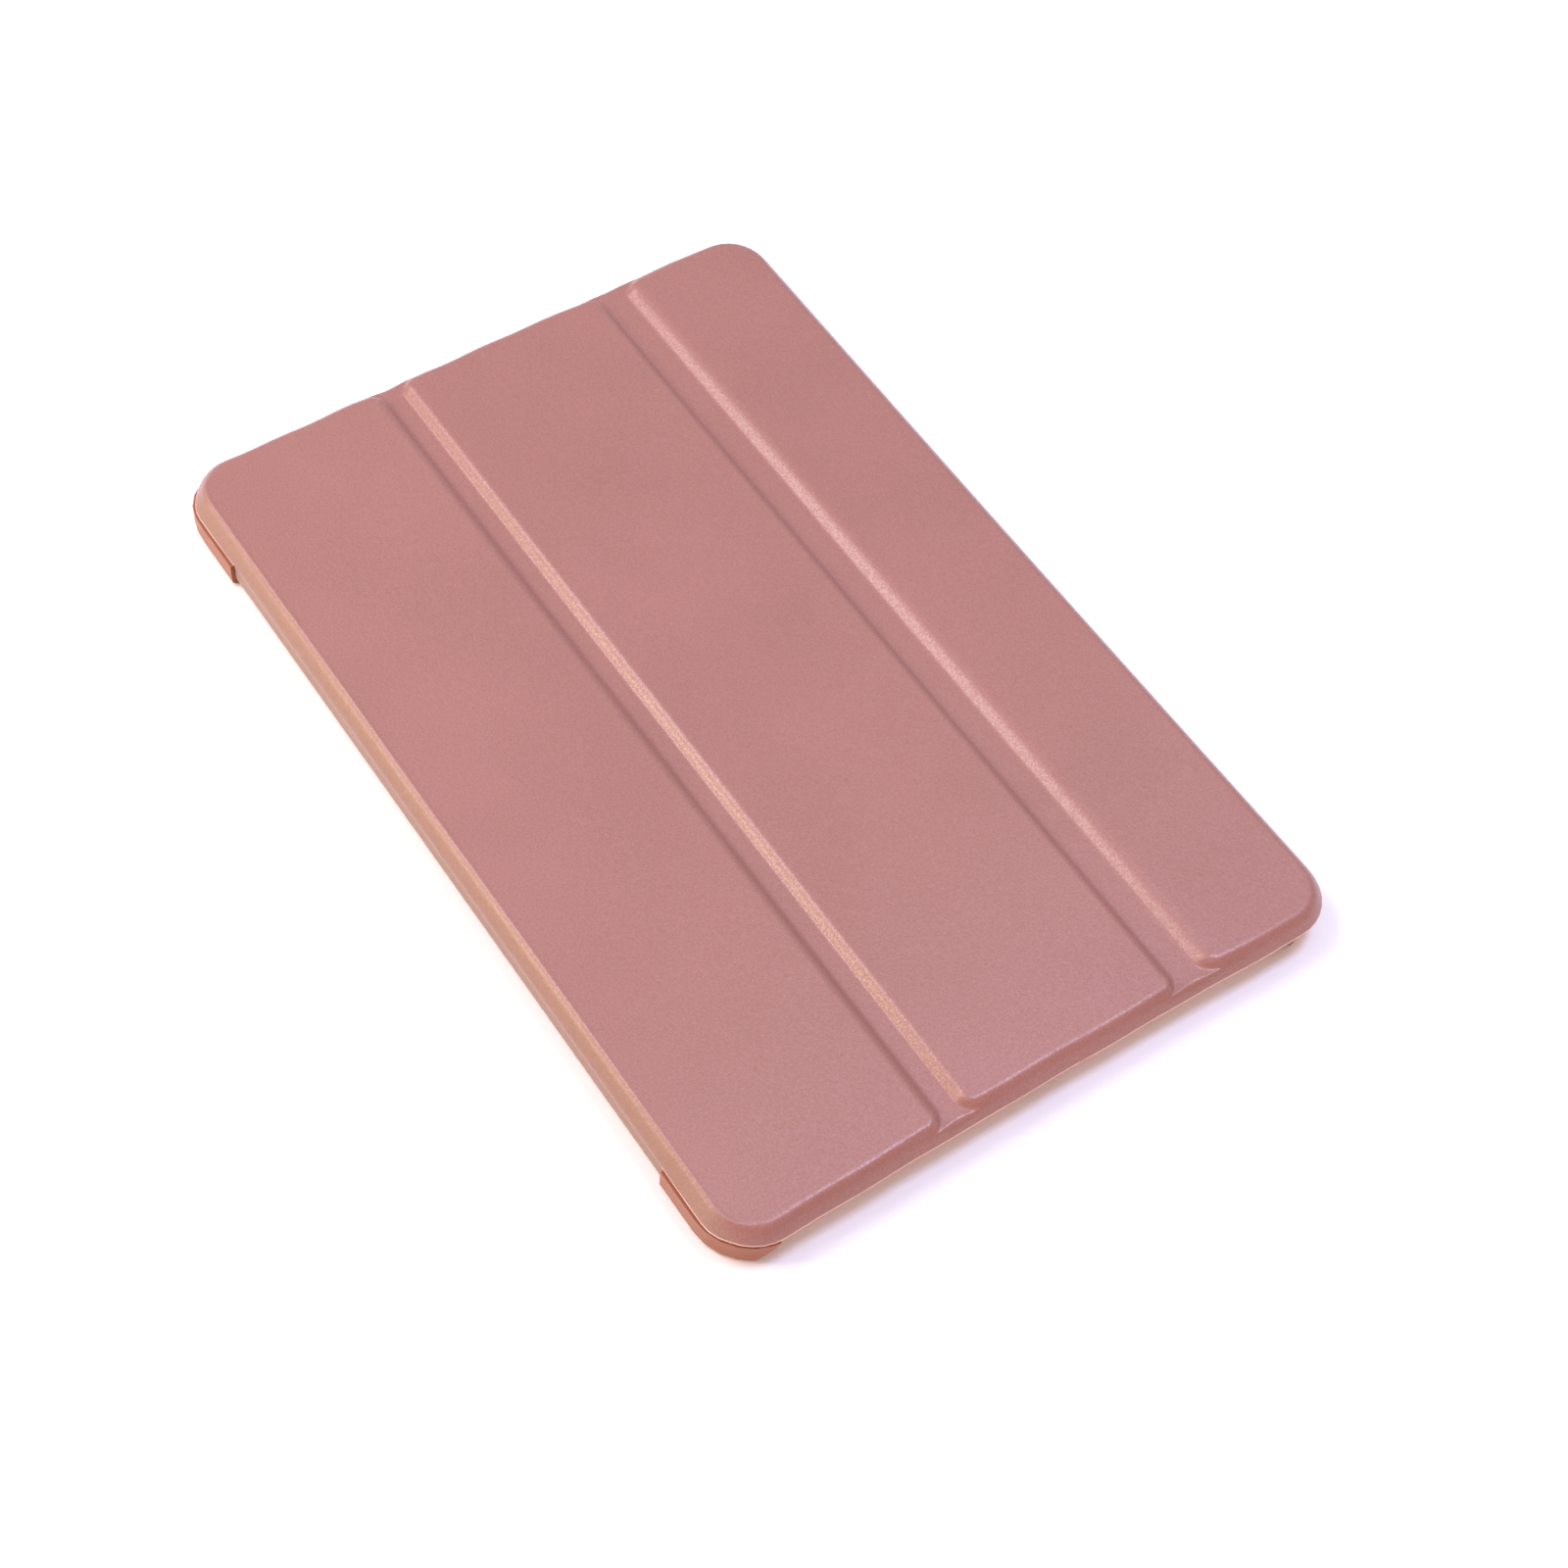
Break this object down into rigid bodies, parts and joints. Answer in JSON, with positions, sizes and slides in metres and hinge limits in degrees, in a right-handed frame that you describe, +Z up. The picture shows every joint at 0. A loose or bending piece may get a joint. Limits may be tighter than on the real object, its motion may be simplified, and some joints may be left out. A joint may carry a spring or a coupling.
{
  "type": "tablet computer in tri-fold folio case",
  "caption": "Small tablet closed in a tri-fold leather folio: back shell with corner guards, hinged spine, folding padded cover, working buttons.",
  "frame": {"origin": "middle of the case's underside, on the plane it rests on", "axes": "+Z up out of the closed cover; +Y along the long side towards the tablet's upper edge; -X towards the spine"},
  "size_m": [0.1408, 0.209, 0.0104],
  "materials": {
    "cover_leather": "padded synthetic leather with a fine grain and a soft metallic sheen",
    "lining": "soft microfibre",
    "greyboard": "plain pressed board",
    "shell_plastic": "satin moulded plastic",
    "aluminium": "fine blasted and anodised",
    "glass": "polished",
    "display": "smooth film",
    "steel": "stamped sheet",
    "circuit_board": "solder mask",
    "black_plastic": "fine moulded texture",
    "battery_wrap": "pouch film",
    "flex_film": "polyimide film",
    "rubber": "soft foam adhesive",
    "magnet": "nickel plated",
    "button_white": "polished"
  },
  "bodies": {
    "case_root": {"case_back_shell": "shell_plastic", "back_leather_flap": "cover_leather", "rear_housing": "aluminium", "front_glass": "glass", "glass_gasket": "rubber", "display_panel": "display", "display_shield_plate": "steel", "battery_cell_left": "battery_wrap", "battery_cell_right": "battery_wrap", "battery_flex_cable": "flex_film", "logic_board": "circuit_board", "processor_shield": "steel", "memory_chip": "black_plastic", "display_flex_cable": "flex_film", "antenna_module": "black_plastic", "microphone": "steel", "rear_camera_module": "black_plastic", "rear_camera_lens": "glass", "front_camera": "black_plastic", "speaker_left": "black_plastic", "speaker_right": "black_plastic", "charging_port": "steel", "headphone_jack": "black_plastic", "power_button_switch": "steel", "volume_switch_board": "circuit_board", "home_button_switch": "steel", "home_button_bracket": "steel", "shield_screw_1": "steel", "shield_screw_2": "steel", "shield_screw_3": "steel", "shield_screw_4": "steel", "board_screw_1": "steel", "board_screw_2": "steel", "board_screw_3": "steel", "bracket_screw_1": "steel", "bracket_screw_2": "steel"},
    "spine": {"spine_leather": "cover_leather", "spine_lining": "lining"},
    "panel_1": {"panel_1_leather": "cover_leather", "panel_1_board": "greyboard", "panel_1_lining": "lining"},
    "groove_1": {"groove_1_strip": "cover_leather"},
    "panel_2": {"panel_2_leather": "cover_leather", "panel_2_board": "greyboard", "panel_2_lining": "lining"},
    "groove_2": {"groove_2_strip": "cover_leather"},
    "panel_3": {"panel_3_leather": "cover_leather", "panel_3_board": "greyboard", "panel_3_lining": "lining", "panel_3_magnet_1": "magnet", "panel_3_magnet_2": "magnet", "panel_3_magnet_3": "magnet", "panel_3_magnet_4": "magnet"},
    "power_button": {"power_button": "aluminium"},
    "volume_up_button": {"volume_up_button": "aluminium"},
    "volume_down_button": {"volume_down_button": "aluminium"},
    "home_button": {"home_button": "button_white"}
  },
  "joints": [
    {"name": "spine_back_hinge", "type": "hinge", "parent": "case_root", "child": "spine", "pos_m": [-0.07, 0, 0.0006], "axis": [0, -1, 0], "range_deg": [0, 179.9]},
    {"name": "spine_front_hinge", "type": "hinge", "parent": "spine", "child": "panel_1", "pos_m": [-0.07, 0, 0.00595], "axis": [0, -1, 0], "range_deg": [0, 179.9]},
    {"name": "fold_1_inner_hinge", "type": "hinge", "parent": "panel_1", "child": "groove_1", "pos_m": [-0.0227, 0, 0.0089], "axis": [0, 1, 0], "range_deg": [-75, 0]},
    {"name": "fold_1_outer_hinge", "type": "hinge", "parent": "groove_1", "child": "panel_2", "pos_m": [-0.0173, 0, 0.0089], "axis": [0, 1, 0], "range_deg": [-75, 0]},
    {"name": "fold_2_inner_hinge", "type": "hinge", "parent": "panel_2", "child": "groove_2", "pos_m": [0.0312, 0, 0.0089], "axis": [0, 1, 0], "range_deg": [-90, 0]},
    {"name": "fold_2_outer_hinge", "type": "hinge", "parent": "groove_2", "child": "panel_3", "pos_m": [0.0379, 0, 0.0089], "axis": [0, 1, 0], "range_deg": [-90, 0]},
    {"name": "power_button_press", "type": "slide", "parent": "case_root", "child": "power_button", "axis": [0, -1, 0], "range_m": [0, 0.0003], "stiffness_N_per_m": 800},
    {"name": "volume_up_button_press", "type": "slide", "parent": "case_root", "child": "volume_up_button", "axis": [-1, 0, 0], "range_m": [0, 0.0003], "stiffness_N_per_m": 800},
    {"name": "volume_down_button_press", "type": "slide", "parent": "case_root", "child": "volume_down_button", "axis": [-1, 0, 0], "range_m": [0, 0.0003], "stiffness_N_per_m": 800},
    {"name": "home_button_press", "type": "slide", "parent": "case_root", "child": "home_button", "axis": [0, 0, -1], "range_m": [0, 0.00025], "stiffness_N_per_m": 1500}
  ],
  "couplings": [
    {"joint": "fold_1_outer_hinge", "follows": "fold_1_inner_hinge", "ratio": 1},
    {"joint": "fold_2_outer_hinge", "follows": "fold_2_inner_hinge", "ratio": 1}
  ]
}
